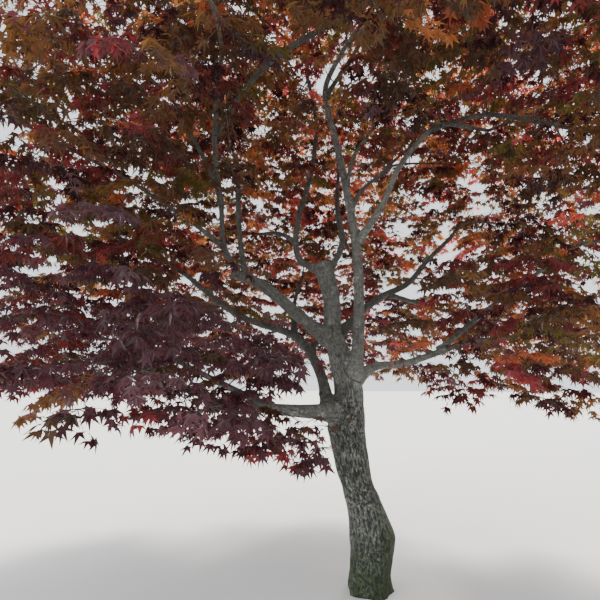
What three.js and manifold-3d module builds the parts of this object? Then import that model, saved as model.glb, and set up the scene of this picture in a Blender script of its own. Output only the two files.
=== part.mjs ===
import * as THREE from "three";
import { mergeVertices } from "three/addons/utils/BufferGeometryUtils.js";
import Module from "manifold-3d";

// A purple-leaved Japanese maple, whole: a leaning trunk cut flat at the ground and at its old pruning
// cut, boughs that each taper to one tip, and masses of foliage that keep to their own spaces.
// Millimetres, +Z up. The origin is the middle of the trunk's flat cut at the ground. Seen from the
// side that faces -Y, +X is to the right.

const wasm = await Module();
wasm.setup();

// Driving sizes
const clearance = 0.3; // between any two pieces of wood that meet
const trunkSides = 12;
const boughSides = 6;
const ringsPerStretch = 2; // rings on each stretch between two bends
const footBand = 40; // the trunk's lowest ring lies within this and is laid flat on the ground
const flareHeight = 130; // root flare above the ground
const flareShare = 0.2; // how much wider the flare is at the ground
const flareFall = 2.5; // how fast the flare dies away over its height
const flareToes = 5; // root swellings round the foot
const toeShare = 0.45; // how far the swellings stand out, as a share of the flare
const taperPower = 0.8; // below 1 a bough thins faster near its foot
const woodStep = 45; // between the places along a limb from which foliage is kept clear
const massFlatness = 0.56; // height of a mass's space over its width
const massGap = 12; // kept clear on each side of the border between two masses
const leafGap = 60; // kept clear between a leaf's ribs and any limb
const leafReach = 385; // hub to middle tip; one leaf stands for a whole spray
const leafThick = 14;
const leafDroop = 0.3; // how far the tips hang, as a share of the reach
const leafLobes = 5;
const lobeSpread = 200; // degrees from the first lobe to the last
const notchDepth = 0.58; // hub to notch, as a share of the reach
const sideLobeShare = 0.76; // reach of the outermost lobes over that of the middle one
const lobePower = 1.5; // above 1 the lobes next to the middle one stay long
const ribPlaces = [0.35, 0.7, 1]; // along each rib, where it is kept off the next leaf
const leafApart = 103; // kept between the ribs of two leaves of a mass
const twigApart = 62; // kept between a leaf's twig and the ribs of the others
const twigClear = 0.3; // share of a twig at its foot that may pass close to its own wood
const twigPasses = [0.3, 0.55, 0.8]; // along a twig, where it is kept off the other ribs
const twigThick = 15; // at most, at its foot
const twigShare = 0.6; // thickness of a twig's foot over that of the wood it leaves
const twigTaper = 0.8; // thickness at its leaf over that at its foot
const neckBack = 22; // how far behind a leaf's hub its twig widens into it
const stemSides = 4;
const stemRings = 4;

// The trunk, station by station: place of its middle and its thickness
const trunkStations = [
  [0, 0, 0, 288],
  [10, 0, 150, 290],
  [24, 0, 350, 316],
  [-28, 0, 575, 262],
  [-80, 0, 740, 234],
  [-140, 0, 1060, 270],
  [-134, 0, 1250, 256],
  [-135, 0, 1450, 214],
  [-198, 20, 1710, 176],
  [-244, 42, 1900, 146],
  [-250, 50, 2130, 132],
  [-290, 55, 2330, 152],
  [-330, 60, 2462, 150],
];

// Every bough: the limb it leaves, how far along that limb, the bends on its way with its tip last, and
// its thickness at both ends
const boughs = {
  leader: {
    from: "trunk", at: 0.565,
    way: [[-72, -72, 1640], [-34, -12, 2090], [-34, 40, 2530], [-96, 90, 3050], [-190, 150, 3620],
      [-276, 200, 4120], [-140, 255, 4520], [60, 310, 4900]],
    thick: [112, 36],
  },
  low_left: {
    from: "trunk", at: 0.5,
    way: [[-560, -240, 1282], [-860, -500, 1330]],
    thick: [128, 62],
  },
  low_left_side: {
    from: "low_left", at: 0.7,
    way: [[-1100, -200, 1480], [-1560, 0, 1690]],
    thick: [60, 34],
  },
  back_stem: {
    from: "low_left", at: 0.17,
    way: [[-362, 90, 1590], [-560, 250, 1870], [-1080, 400, 2080], [-1620, 480, 2500], [-1880, 430, 2640]],
    thick: [98, 34],
  },
  back_low_left: {
    from: "back_stem", at: 0.47,
    way: [[-850, 620, 2010], [-1010, 900, 2080]],
    thick: [52, 34],
  },
  back_rise: {
    from: "back_stem", at: 0.4,
    way: [[-560, 480, 2180], [-500, 700, 2440]],
    thick: [48, 30],
  },
  back_low: {
    from: "back_stem", at: 0.29,
    way: [[-330, 560, 1850], [-90, 1180, 1980]],
    thick: [62, 34],
  },
  low_right: {
    from: "trunk", at: 0.575,
    way: [[40, -110, 1590], [283, -220, 1624], [560, -320, 1722]],
    thick: [78, 42],
  },
  right_side: {
    from: "low_right", at: 0.9,
    way: [[950, -270, 2060], [1490, -170, 2420]],
    thick: [42, 32],
  },
  left_bough: {
    from: "trunk", at: 0.71,
    way: [[-441, -30, 1935], [-776, -100, 2213], [-1047, -100, 2335]],
    thick: [128, 76],
  },
  left_fork_front: {
    from: "left_bough", at: 0.93,
    way: [[-1110, -150, 2560], [-1150, -240, 2950], [-1380, -340, 3440]],
    thick: [50, 32],
  },
  left_fork_back: {
    from: "left_bough", at: 0.86,
    way: [[-1000, 10, 2600], [-1050, 90, 3080]],
    thick: [54, 36],
  },
  upper_left_back: {
    from: "left_fork_back", at: 0.75,
    way: [[-1080, 350, 3350], [-1180, 620, 3760]],
    thick: [40, 30],
  },
  left_mid: {
    from: "left_fork_front", at: 0.3,
    way: [[-1355, -300, 2700], [-1540, -640, 2760]],
    thick: [40, 28],
  },
  front_left: {
    from: "left_fork_front", at: 0.6,
    way: [[-1080, -780, 3040], [-960, -1330, 3190]],
    thick: [42, 30],
  },
  front: {
    from: "front_left", at: 0.6,
    way: [[-700, -1250, 3300], [-230, -1560, 3370]],
    thick: [36, 28],
  },
  mid_right: {
    from: "trunk", at: 0.72,
    way: [[120, 120, 2150], [420, 240, 2320], [640, 340, 2560], [900, 470, 2810]],
    thick: [66, 34],
  },
  mid_right_low: {
    from: "mid_right", at: 0.33,
    way: [[700, 560, 2170], [1080, 760, 2120]],
    thick: [42, 30],
  },
  upper_right: {
    from: "leader", at: 0.395,
    way: [[170, -50, 2925], [330, -110, 3260], [610, -190, 3545], [880, -250, 3500]],
    thick: [60, 34],
  },
  right_front: {
    from: "upper_right", at: 0.72,
    way: [[830, -600, 3390], [1120, -930, 3120]],
    thick: [38, 28],
  },
  leader_twig: {
    from: "leader", at: 0.475,
    way: [[71, 200, 3190], [312, 350, 3420]],
    thick: [44, 28],
  },
  upper_right_back: {
    from: "leader_twig", at: 0.75,
    way: [[460, 640, 3690], [700, 760, 3940]],
    thick: [34, 26],
  },
  leader_front: {
    from: "leader", at: 0.52,
    way: [[-60, -60, 3330], [20, -260, 3400]],
    thick: [38, 26],
  },
  stub_right: {
    from: "trunk", at: 0.93,
    way: [[-150, 150, 2640], [-160, 420, 3080], [-100, 860, 3680], [-60, 1080, 3960]],
    thick: [62, 32],
  },
  back_mid: {
    from: "stub_right", at: 0.45,
    way: [[0, 1000, 2850], [120, 1360, 2960]],
    thick: [42, 30],
  },
  stub_left: {
    from: "trunk", at: 0.945,
    way: [[-520, 120, 2520], [-526, 210, 2880], [-400, 290, 3390], [-358, 330, 3900], [-440, 330, 4400]],
    thick: [66, 34],
  },
  left_back_mid: {
    from: "stub_left", at: 0.3,
    way: [[-720, 620, 2900], [-980, 980, 3010]],
    thick: [44, 30],
  },
  centre_back: { from: "stub_left", at: 0.55, way: [[-420, 500, 3500]], thick: [34, 26] },
  leader_fork: {
    from: "leader", at: 0.735,
    way: [[-70, 60, 4330], [120, -330, 4420]],
    thick: [46, 30],
  },
  top_right: {
    from: "leader", at: 0.93,
    way: [[220, 180, 4870], [330, 140, 4900]],
    thick: [36, 26],
  },
};

// Every mass of foliage: the bough that feeds it, the middle of its space and its half width
const masses = {
  foliage_low_left_front: { bough: "low_left", centre: [-1430, -930, 1560], spread: 900 },
  foliage_low_left: { bough: "low_left_side", centre: [-2280, 100, 1850], spread: 840 },
  foliage_left: { bough: "back_stem", centre: [-2420, 250, 2870], spread: 820 },
  foliage_low_left_back: { bough: "back_low_left", centre: [-1380, 1480, 2080], spread: 880 },
  foliage_back_rise: { bough: "back_rise", centre: [-480, 1130, 2640], spread: 700 },
  foliage_low_back: { bough: "back_low", centre: [180, 1880, 2050], spread: 880 },
  foliage_low_right: { bough: "low_right", centre: [1000, -480, 1800], spread: 760 },
  foliage_right: { bough: "right_side", centre: [2240, -180, 2640], spread: 860 },
  foliage_left_front: { bough: "left_mid", centre: [-1830, -1300, 2780], spread: 860 },
  foliage_centre_left: { bough: "left_fork_back", centre: [-1180, 150, 3420], spread: 700 },
  foliage_upper_left: { bough: "left_fork_front", centre: [-1700, -480, 3820], spread: 840 },
  foliage_upper_left_back: { bough: "upper_left_back", centre: [-1300, 980, 4080], spread: 860 },
  foliage_front_left: { bough: "front_left", centre: [-1000, -1980, 3420], spread: 800 },
  foliage_front: { bough: "front", centre: [380, -1850, 3400], spread: 820 },
  foliage_right_back: { bough: "mid_right", centre: [1650, 980, 3120], spread: 880 },
  foliage_low_right_back: { bough: "mid_right_low", centre: [1780, 1050, 2080], spread: 840 },
  foliage_upper_right: { bough: "upper_right", centre: [1420, -420, 3700], spread: 800 },
  foliage_right_front: { bough: "right_front", centre: [1640, -1480, 2940], spread: 840 },
  foliage_centre_right: { bough: "leader_twig", centre: [760, 480, 3560], spread: 620 },
  foliage_upper_right_back: { bough: "upper_right_back", centre: [1200, 1050, 4180], spread: 840 },
  foliage_leader_front: { bough: "leader_front", centre: [160, -560, 3480], spread: 520 },
  foliage_upper_back: { bough: "stub_right", centre: [-60, 1650, 4200], spread: 840 },
  foliage_back: { bough: "back_mid", centre: [260, 2050, 3120], spread: 880 },
  foliage_left_back: { bough: "left_back_mid", centre: [-1420, 1560, 3080], spread: 880 },
  foliage_centre: { bough: "centre_back", centre: [-420, 900, 3560], spread: 560 },
  foliage_top_left: { bough: "stub_left", centre: [-900, -20, 4760], spread: 800 },
  foliage_upper_front: { bough: "leader_fork", centre: [-50, -1000, 4460], spread: 840 },
  foliage_top_right: { bough: "top_right", centre: [820, 40, 4860], spread: 780 },
  foliage_top: { bough: "leader", centre: [-20, 420, 5480], spread: 820 },
};

// Growth of a mass
const firstSeed = 101; // of the first mass
const seedStep = 17; // from one mass's seed to the next
const stemPast = 0.36; // how far the stem runs on past the middle of its mass
const stemWiden = 1.84; // thickness at the stem's foot over its bough's tip radius
const kneeShare = 0.3; // of the way to the middle that the stem keeps to its bough's direction
const endLevel = 0.7; // 1 lays the stem's end level with the middle of its mass
const throwRound = 0.7; // 1 rounds the thrown places off to a ball, 0 leaves them a drum
const stemPlaces = [0.2, 0.34, 0.48, 0.62, 0.76, 0.88, 0.985]; // where twigs may leave the stem
const twigBranching = [0.3, 0.5, 0.7]; // where twigs may leave another twig
const shortestTwig = 110;
const longestTwig = 620;
const hubThrows = 130; // places tried for leaves
const hubShare = 0.66; // how far out they are thrown, as a share of the space
const leafRise = [-30, 6]; // degrees
const leafRoll = 20; // degrees either way
const leafTries = [1, 0.88, 0.78, 0.68]; // shares of the full reach that a leaf tries in turn

const up = new THREE.Vector3(0, 0, 1);
const vector = (point) => new THREE.Vector3(...point);
const mix = THREE.MathUtils.lerp;
const rad = THREE.MathUtils.degToRad;

// A small seeded generator of numbers from 0 to 1
function dice(seed) {
  let state = seed >>> 0;
  return () => {
    state = (state + 0x6d2b79f5) >>> 0;
    let mixed = Math.imul(state ^ (state >>> 15), state | 1);
    mixed ^= mixed + Math.imul(mixed ^ (mixed >>> 7), mixed | 61);
    return ((mixed ^ (mixed >>> 14)) >>> 0) / 4294967296;
  };
}

// A direction from a compass heading, anticlockwise from +X, and a rise above level, both in degrees
function direction(heading, rise) {
  const level = Math.cos(rad(rise));
  const turn = rad(heading);
  return new THREE.Vector3(level * Math.cos(turn), level * Math.sin(turn), Math.sin(rad(rise)));
}

function headingOf(way) {
  return THREE.MathUtils.radToDeg(Math.atan2(way.y, way.x));
}

// A level direction across a limb's run, so that its rings never twist
function acrossRun(curve) {
  const run = curve.getPoint(1).sub(curve.getPoint(0));
  const across = new THREE.Vector3().crossVectors(run, up);
  const steepest = 0.25; // of its length that a limb must run level for this to hold
  return across.length() > steepest * run.length() ? across.normalize() : new THREE.Vector3(1, 0, 0);
}

// A capped cylinder bent along a curve, as thick at every place as radiusAt says and wider all round,
// past its ends too, by the margin
function bentTube(curve, radiusAt, sides, steps, margin = 0) {
  const tube = new THREE.CylinderGeometry(1, 1, 1, sides, steps);
  const place = tube.getAttribute("position");
  const reference = acrossRun(curve);
  for (let i = 0; i < place.count; i++) {
    const along = Math.min(1, Math.max(0, place.getY(i) + 0.5));
    const tangent = curve.getTangent(along);
    const side = new THREE.Vector3().crossVectors(tangent, reference).normalize();
    const front = new THREE.Vector3().crossVectors(side, tangent);
    const radius = radiusAt(along, Math.atan2(place.getX(i), place.getZ(i))) + margin;
    const past = along === 0 ? -margin : along === 1 ? margin : 0;
    const point = curve.getPoint(along)
      .addScaledVector(side, place.getX(i) * radius)
      .addScaledVector(front, place.getZ(i) * radius)
      .addScaledVector(tangent, past);
    place.setXYZ(i, point.x, point.y, point.z);
  }
  return tube;
}

function solidOf(geometry) {
  const bare = geometry.clone();
  bare.deleteAttribute("normal");
  bare.deleteAttribute("uv");
  const merged = mergeVertices(bare, 1e-3);
  return new wasm.Manifold(new wasm.Mesh({
    numProp: 3,
    vertProperties: new Float32Array(merged.getAttribute("position").array),
    triVerts: new Uint32Array(merged.index.array),
  }));
}

function largest(solid) {
  return solid.decompose().reduce((best, piece) => (piece.volume() > best.volume() ? piece : best));
}

function meshOf(name, solid, material) {
  const shape = solid.getMesh();
  const place = new Float32Array(shape.numVert * 3);
  for (let i = 0; i < shape.numVert; i++)
    for (let k = 0; k < 3; k++) place[3 * i + k] = shape.vertProperties[shape.numProp * i + k];
  const geometry = new THREE.BufferGeometry();
  geometry.setAttribute("position", new THREE.BufferAttribute(place, 3));
  geometry.setIndex(new THREE.BufferAttribute(new Uint32Array(shape.triVerts), 1));
  geometry.computeVertexNormals();
  const mesh = new THREE.Mesh(geometry, material);
  mesh.name = name;
  return mesh;
}

// The trunk: its middle line, its thickness between stations, and its foot
const trunkCurve = new THREE.CatmullRomCurve3(
  trunkStations.map(([x, y, z]) => new THREE.Vector3(x, y, z)), false, "catmullrom", 0.5);

function trunkRadius(along, angle) {
  const station = along * (trunkStations.length - 1);
  const below = Math.min(Math.floor(station), trunkStations.length - 2);
  const plain = mix(trunkStations[below][3], trunkStations[below + 1][3], station - below) / 2;
  const height = trunkCurve.getPoint(along).z;
  const flare = flareShare * Math.exp((-flareFall * height) / flareHeight);
  return plain * (1 + flare * (1 + toeShare * Math.cos(flareToes * angle)));
}

function trunkSolid(margin) {
  const steps = (trunkStations.length - 1) * ringsPerStretch;
  const tube = bentTube(trunkCurve, trunkRadius, trunkSides, steps, margin);
  const place = tube.getAttribute("position");
  for (let i = 0; i < place.count; i++) if (place.getZ(i) < footBand) place.setZ(i, 0);
  return solidOf(tube);
}

// The limbs, each from its place on its parent's middle line
const betweenToes = Math.PI / flareToes;
const limbs = { trunk: { curve: trunkCurve, radius: (along) => trunkRadius(along, betweenToes) } };
for (const [name, bough] of Object.entries(boughs)) {
  const root = limbs[bough.from].curve.getPoint(bough.at);
  const curve = new THREE.CatmullRomCurve3([root, ...bough.way.map(vector)], false, "catmullrom", 0.5);
  const [foot, tip] = bough.thick;
  limbs[name] = { curve, radius: (along) => mix(foot, tip, along ** taperPower) / 2 };
}

function boughSolid(name, margin) {
  const { curve, radius } = limbs[name];
  return solidOf(bentTube(curve, radius, boughSides, (curve.points.length - 1) * ringsPerStretch, margin));
}

// Places along every limb with the limb's radius there, for keeping foliage clear of the wood
const woodPlaces = [];
for (const { curve, radius } of Object.values(limbs)) {
  const steps = Math.ceil(curve.getLength() / woodStep);
  for (let i = 0; i <= steps; i++) {
    woodPlaces.push({ at: curve.getPoint(i / steps), radius: radius(i / steps) });
  }
}

const toSegment = new THREE.Vector3();
function clearOfWood(from, to, gap) {
  const line = new THREE.Line3(from, to);
  return woodPlaces.every(({ at, radius }) =>
    line.closestPointToPoint(at, true, toSegment).distanceTo(at) > radius + gap);
}

// How far a point lies from the middle of a mass, in the stretched frame where every space is a ball
function stretchedSquare(point, centre) {
  const rise = (point.z - centre[2]) / massFlatness;
  return (point.x - centre[0]) ** 2 + (point.y - centre[1]) ** 2 + rise ** 2;
}

// True where the point is in the mass's own ball and on its own side of every border with another mass
function inSpace(point, name) {
  const own = masses[name];
  const square = stretchedSquare(point, own.centre);
  if (square > (own.spread - massGap) ** 2) return false;
  return Object.entries(masses).every(([other, mass]) => {
    if (other === name) return true;
    const apart = Math.sqrt(stretchedSquare(vector(mass.centre), own.centre));
    const lead = stretchedSquare(point, mass.centre) - mass.spread ** 2 - (square - own.spread ** 2);
    return lead > 2 * apart * massGap;
  });
}

// A palmate leaf on its twig: lobe tips and notches in turn round the hub, hanging towards the tips
function shapeLeaf(hub, root, rise, roll, reach) {
  const run = hub.clone().sub(root);
  const along = run.clone().normalize();
  const ahead = direction(headingOf(run), rise);
  const across = new THREE.Vector3().crossVectors(up, ahead).normalize().applyAxisAngle(ahead, rad(roll));
  const over = new THREE.Vector3().crossVectors(ahead, across);
  const corners = [];
  const last = 2 * leafLobes - 2;
  for (let i = 0; i <= last; i++) {
    const turn = rad(mix(-lobeSpread / 2, lobeSpread / 2, i / last));
    const outer = Math.abs(i / last - 0.5) * 2;
    const lobe = reach * mix(1, sideLobeShare, outer ** lobePower);
    const far = i % 2 ? lobe * notchDepth : lobe;
    corners.push(hub.clone()
      .addScaledVector(ahead, far * Math.cos(turn))
      .addScaledVector(across, far * Math.sin(turn))
      .addScaledVector(over, (-leafDroop * far * far) / reach));
  }
  const tips = corners.filter((_, i) => i % 2 === 0);
  const ribs = tips.flatMap((tip) => ribPlaces.map((share) => hub.clone().lerp(tip, share)));
  return { hub, root, along, across, over, corners, tips, ribs };
}

// One closed solid of a leaf and its three-sided twig
function leafSolid({ hub, root, along, across, over, corners }, footThick) {
  const place = (from, back, sideways, rise) => from.clone()
    .addScaledVector(along, -back)
    .addScaledVector(across, sideways)
    .addScaledVector(over, rise);
  const foot = footThick / 2;
  const footSide = foot * 0.87;
  const neck = foot * twigTaper;
  const points = [
    place(hub, 0, 0, leafThick / 2),
    place(hub, 0, 0, -leafThick / 2),
    place(hub, neckBack, neck, 0),
    place(hub, neckBack, -neck, 0),
    place(root, 0, 0, foot),
    place(root, 0, footSide, -foot / 2),
    place(root, 0, -footSide, -foot / 2),
    ...corners,
  ];
  const [top, bottom, neckLeft, neckRight, footTop, footLeft, footRight, firstTip] = points.keys();
  const lastTip = points.length - 1;
  const triangles = [
    top, lastTip, neckLeft, bottom, neckLeft, lastTip,
    top, neckRight, firstTip, bottom, firstTip, neckRight,
    top, neckLeft, footTop, neckLeft, footLeft, footTop,
    top, footTop, neckRight, neckRight, footTop, footRight,
    neckLeft, neckRight, footLeft, neckRight, footRight, footLeft,
    bottom, neckRight, neckLeft, footTop, footLeft, footRight,
  ];
  for (let i = firstTip; i < lastTip; i++) triangles.push(top, i, i + 1, bottom, i + 1, i);
  const geometry = new THREE.BufferGeometry().setFromPoints(points);
  geometry.setIndex(triangles);
  return solidOf(geometry);
}

// Grows a leaf with its hub at a place, on a twig from the nearest wood of the mass, or none
function growLeaf(mass, hub, rise, roll) {
  const nearer = (best, spot) => (spot.at.distanceTo(hub) < best.at.distanceTo(hub) ? spot : best);
  const root = mass.wood.reduce(nearer);
  const away = root.at.distanceTo(hub);
  if (away < shortestTwig || away > longestTwig) return;
  if (!clearOfWood(root.at.clone().lerp(hub, twigClear), hub, leafGap)) return;
  const passes = twigPasses.map((share) => root.at.clone().lerp(hub, share));
  if (passes.some((pass) => mass.ribs.some((rib) => pass.distanceTo(rib) < twigApart))) return;
  for (const share of leafTries) {
    const leaf = shapeLeaf(hub, root.at, rise, roll, leafReach * share);
    const free = leaf.ribs.every((rib) => mass.ribs.every((other) => rib.distanceTo(other) > leafApart))
      && leaf.tips.every((tip) => inSpace(tip, mass.name) && clearOfWood(hub, tip, leafGap));
    if (!free) continue;
    const foot = Math.min(twigThick, root.thick * twigShare);
    mass.ribs.push(...leaf.ribs);
    mass.solids.push(leafSolid(leaf, foot));
    for (const place of twigBranching) {
      mass.wood.push({ at: root.at.clone().lerp(hub, place), thick: mix(foot, foot * twigTaper, place) });
    }
    return;
  }
}

// A mass of foliage: one stem from its bough's tip, and leaves that fill its space evenly, each on a twig
// from the nearest wood, those nearest to the stem first
function growMass(name, seed) {
  const roll = dice(seed);
  const between = (low, high) => mix(low, high, roll());
  const { bough, centre, spread } = masses[name];
  const { curve, radius } = limbs[bough];
  const onward = curve.getTangent(1);
  const start = curve.getPoint(1).addScaledVector(onward, clearance);
  const middle = vector(centre);
  const run = middle.clone().sub(start);
  const past = middle.clone().addScaledVector(run.clone().normalize(), spread * stemPast);
  const end = new THREE.Vector3(past.x, past.y, mix(past.z, centre[2], endLevel));
  const knee = start.clone().addScaledVector(onward, run.length() * kneeShare);
  const stem = new THREE.CatmullRomCurve3([start, knee, middle, end], false, "catmullrom", 0.5);
  const thickness = (along) => mix(radius(1) * stemWiden, twigThick, along);
  const mass = {
    name,
    ribs: [],
    solids: [solidOf(bentTube(stem, (along) => thickness(along) / 2, stemSides, stemRings))],
    wood: stemPlaces.map((along) => ({ at: stem.getPoint(along), thick: thickness(along) })),
  };
  const hubs = [];
  for (let i = 0; i < hubThrows; i++) {
    const turn = between(0, 360);
    const out = Math.sqrt(roll());
    const level = between(-1, 1) * Math.sqrt(1 - throwRound * out * out);
    const hub = middle.clone()
      .addScaledVector(direction(turn, 0), out * hubShare * spread)
      .addScaledVector(up, level * hubShare * spread * massFlatness);
    hubs.push({ hub, rise: between(...leafRise), tilt: between(-leafRoll, leafRoll) });
  }
  const fromStem = ({ hub }) => Math.min(...mass.wood.map(({ at }) => at.distanceTo(hub)));
  const order = hubs.map((spot) => [fromStem(spot), spot]).sort((one, other) => one[0] - other[0]);
  for (const [, spot] of order) growLeaf(mass, spot.hub, spot.rise, spot.tilt);
  return largest(wasm.Manifold.union(mass.solids));
}

const matt = (color, roughness) =>
  new THREE.MeshStandardMaterial({ color, roughness, metalness: 0, flatShading: true });
const bark = matt(0x736e64, 0.9);
const foliage = matt(0x5a2420, 0.6);

const tree = new THREE.Group();
tree.name = "japanese_maple_tree";

const wood = [{ solid: trunkSolid(0), wide: trunkSolid(clearance) }];
tree.add(meshOf("trunk", wood[0].solid, bark));
for (const name of Object.keys(boughs)) {
  let solid = boughSolid(name, 0);
  for (const earlier of wood) solid = solid.subtract(earlier.wide);
  solid = largest(solid);
  wood.push({ solid, wide: boughSolid(name, clearance) });
  tree.add(meshOf(name, solid, bark));
}
Object.keys(masses).forEach((name, i) => {
  tree.add(meshOf(name, growMass(name, firstSeed + seedStep * i), foliage));
});

export default tree;
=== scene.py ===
import math
import random

import bmesh
import bpy
import numpy as np
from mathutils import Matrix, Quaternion, Vector, noise
from mathutils.kdtree import KDTree


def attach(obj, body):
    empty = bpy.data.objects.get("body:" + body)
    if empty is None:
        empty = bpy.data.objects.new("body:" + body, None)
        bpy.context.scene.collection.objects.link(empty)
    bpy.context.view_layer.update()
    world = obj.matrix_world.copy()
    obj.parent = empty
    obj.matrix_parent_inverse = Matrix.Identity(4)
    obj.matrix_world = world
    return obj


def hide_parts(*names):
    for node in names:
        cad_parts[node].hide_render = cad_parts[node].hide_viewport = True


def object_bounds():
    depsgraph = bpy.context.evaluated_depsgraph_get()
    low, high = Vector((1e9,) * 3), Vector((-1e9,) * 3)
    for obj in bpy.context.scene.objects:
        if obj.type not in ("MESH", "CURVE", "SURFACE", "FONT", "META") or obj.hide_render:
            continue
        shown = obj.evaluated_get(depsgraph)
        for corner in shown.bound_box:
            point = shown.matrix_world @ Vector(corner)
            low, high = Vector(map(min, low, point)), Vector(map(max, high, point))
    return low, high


# A purple-leaved Japanese maple: one bark mesh with relief for trunk and heavy limbs, tubes for the
# thinner boughs, and foliage that grows on from every bough by the rule of the part's source.
# Metres, Z up, the trunk's foot at the origin, the photo taken from the -Y side.

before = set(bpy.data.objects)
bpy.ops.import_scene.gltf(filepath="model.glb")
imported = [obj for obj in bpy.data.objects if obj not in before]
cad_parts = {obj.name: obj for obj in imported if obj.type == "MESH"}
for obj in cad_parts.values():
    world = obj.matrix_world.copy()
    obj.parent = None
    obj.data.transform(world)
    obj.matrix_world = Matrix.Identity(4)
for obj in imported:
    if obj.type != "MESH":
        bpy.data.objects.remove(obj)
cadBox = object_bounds()
print("frame:", len(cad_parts), "nodes")

# Trunk and boughs, as in the part's source

# place of the trunk's middle and its thickness, station by station
trunkStations = [
    (0, 0, 0, 0.288), (0.01, 0, 0.15, 0.29), (0.024, 0, 0.35, 0.316), (-0.028, 0, 0.575, 0.262),
    (-0.08, 0, 0.74, 0.234), (-0.14, 0, 1.06, 0.27), (-0.134, 0, 1.25, 0.256), (-0.135, 0, 1.45, 0.214),
    (-0.198, 0.02, 1.71, 0.176), (-0.244, 0.042, 1.9, 0.146), (-0.25, 0.05, 2.13, 0.132),
    (-0.29, 0.055, 2.33, 0.152), (-0.33, 0.06, 2.462, 0.15),
]

# name: limb it leaves, how far along it, the way to its tip, thickness at foot and tip
boughs = {
    "leader": ("trunk", 0.565, [(-0.072, -0.072, 1.64), (-0.034, -0.012, 2.09), (-0.034, 0.04, 2.53),
        (-0.096, 0.09, 3.05), (-0.19, 0.15, 3.62), (-0.276, 0.2, 4.12), (-0.14, 0.255, 4.52),
        (0.06, 0.31, 4.9)], (0.112, 0.036)),
    "low_left": ("trunk", 0.5, [(-0.56, -0.24, 1.282), (-0.86, -0.5, 1.33)], (0.128, 0.062)),
    "low_left_side": ("low_left", 0.7, [(-1.1, -0.2, 1.48), (-1.56, 0, 1.69)], (0.06, 0.034)),
    "back_stem": ("low_left", 0.17, [(-0.362, 0.09, 1.59), (-0.56, 0.25, 1.87), (-1.08, 0.4, 2.08),
        (-1.62, 0.48, 2.5), (-1.88, 0.43, 2.64)], (0.098, 0.034)),
    "back_low_left": ("back_stem", 0.47, [(-0.85, 0.62, 2.01), (-1.01, 0.9, 2.08)], (0.052, 0.034)),
    "back_rise": ("back_stem", 0.4, [(-0.56, 0.48, 2.18), (-0.5, 0.7, 2.44)], (0.048, 0.03)),
    "back_low": ("back_stem", 0.29, [(-0.33, 0.56, 1.85), (-0.09, 1.18, 1.98)], (0.062, 0.034)),
    "low_right": ("trunk", 0.575, [(0.04, -0.11, 1.59), (0.283, -0.22, 1.624), (0.56, -0.32, 1.722)],
        (0.078, 0.042)),
    "right_side": ("low_right", 0.9, [(0.95, -0.27, 2.06), (1.49, -0.17, 2.42)], (0.042, 0.032)),
    "left_bough": ("trunk", 0.71, [(-0.441, -0.03, 1.935), (-0.776, -0.1, 2.213), (-1.047, -0.1, 2.335)],
        (0.128, 0.076)),
    "left_fork_front": ("left_bough", 0.93, [(-1.11, -0.15, 2.56), (-1.15, -0.24, 2.95),
        (-1.38, -0.34, 3.44)], (0.05, 0.032)),
    "left_fork_back": ("left_bough", 0.86, [(-1, 0.01, 2.6), (-1.05, 0.09, 3.08)], (0.054, 0.036)),
    "upper_left_back": ("left_fork_back", 0.75, [(-1.08, 0.35, 3.35), (-1.18, 0.62, 3.76)], (0.04, 0.03)),
    "left_mid": ("left_fork_front", 0.3, [(-1.355, -0.3, 2.7), (-1.54, -0.64, 2.76)], (0.04, 0.028)),
    "front_left": ("left_fork_front", 0.6, [(-1.08, -0.78, 3.04), (-0.96, -1.33, 3.19)], (0.042, 0.03)),
    "front": ("front_left", 0.6, [(-0.7, -1.25, 3.3), (-0.23, -1.56, 3.37)], (0.036, 0.028)),
    "mid_right": ("trunk", 0.72, [(0.12, 0.12, 2.15), (0.42, 0.24, 2.32), (0.64, 0.34, 2.56),
        (0.9, 0.47, 2.81)], (0.066, 0.034)),
    "mid_right_low": ("mid_right", 0.33, [(0.7, 0.56, 2.17), (1.08, 0.76, 2.12)], (0.042, 0.03)),
    "upper_right": ("leader", 0.395, [(0.17, -0.05, 2.925), (0.33, -0.11, 3.26), (0.61, -0.19, 3.545),
        (0.88, -0.25, 3.5)], (0.06, 0.034)),
    "right_front": ("upper_right", 0.72, [(0.83, -0.6, 3.39), (1.12, -0.93, 3.12)], (0.038, 0.028)),
    "leader_twig": ("leader", 0.475, [(0.071, 0.2, 3.19), (0.312, 0.35, 3.42)], (0.044, 0.028)),
    "upper_right_back": ("leader_twig", 0.75, [(0.46, 0.64, 3.69), (0.7, 0.76, 3.94)], (0.034, 0.026)),
    "leader_front": ("leader", 0.52, [(-0.06, -0.06, 3.33), (0.02, -0.26, 3.4)], (0.038, 0.026)),
    "stub_right": ("trunk", 0.93, [(-0.15, 0.15, 2.64), (-0.16, 0.42, 3.08), (-0.1, 0.86, 3.68),
        (-0.06, 1.08, 3.96)], (0.062, 0.032)),
    "back_mid": ("stub_right", 0.45, [(0, 1, 2.85), (0.12, 1.36, 2.96)], (0.042, 0.03)),
    "stub_left": ("trunk", 0.945, [(-0.52, 0.12, 2.52), (-0.526, 0.21, 2.88), (-0.4, 0.29, 3.39),
        (-0.358, 0.33, 3.9), (-0.44, 0.33, 4.4)], (0.066, 0.034)),
    "left_back_mid": ("stub_left", 0.3, [(-0.72, 0.62, 2.9), (-0.98, 0.98, 3.01)], (0.044, 0.03)),
    "centre_back": ("stub_left", 0.55, [(-0.42, 0.5, 3.5)], (0.034, 0.026)),
    "leader_fork": ("leader", 0.735, [(-0.07, 0.06, 4.33), (0.12, -0.33, 4.42)], (0.046, 0.03)),
    "top_right": ("leader", 0.93, [(0.22, 0.18, 4.87), (0.33, 0.14, 4.9)], (0.036, 0.026)),
}

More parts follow.
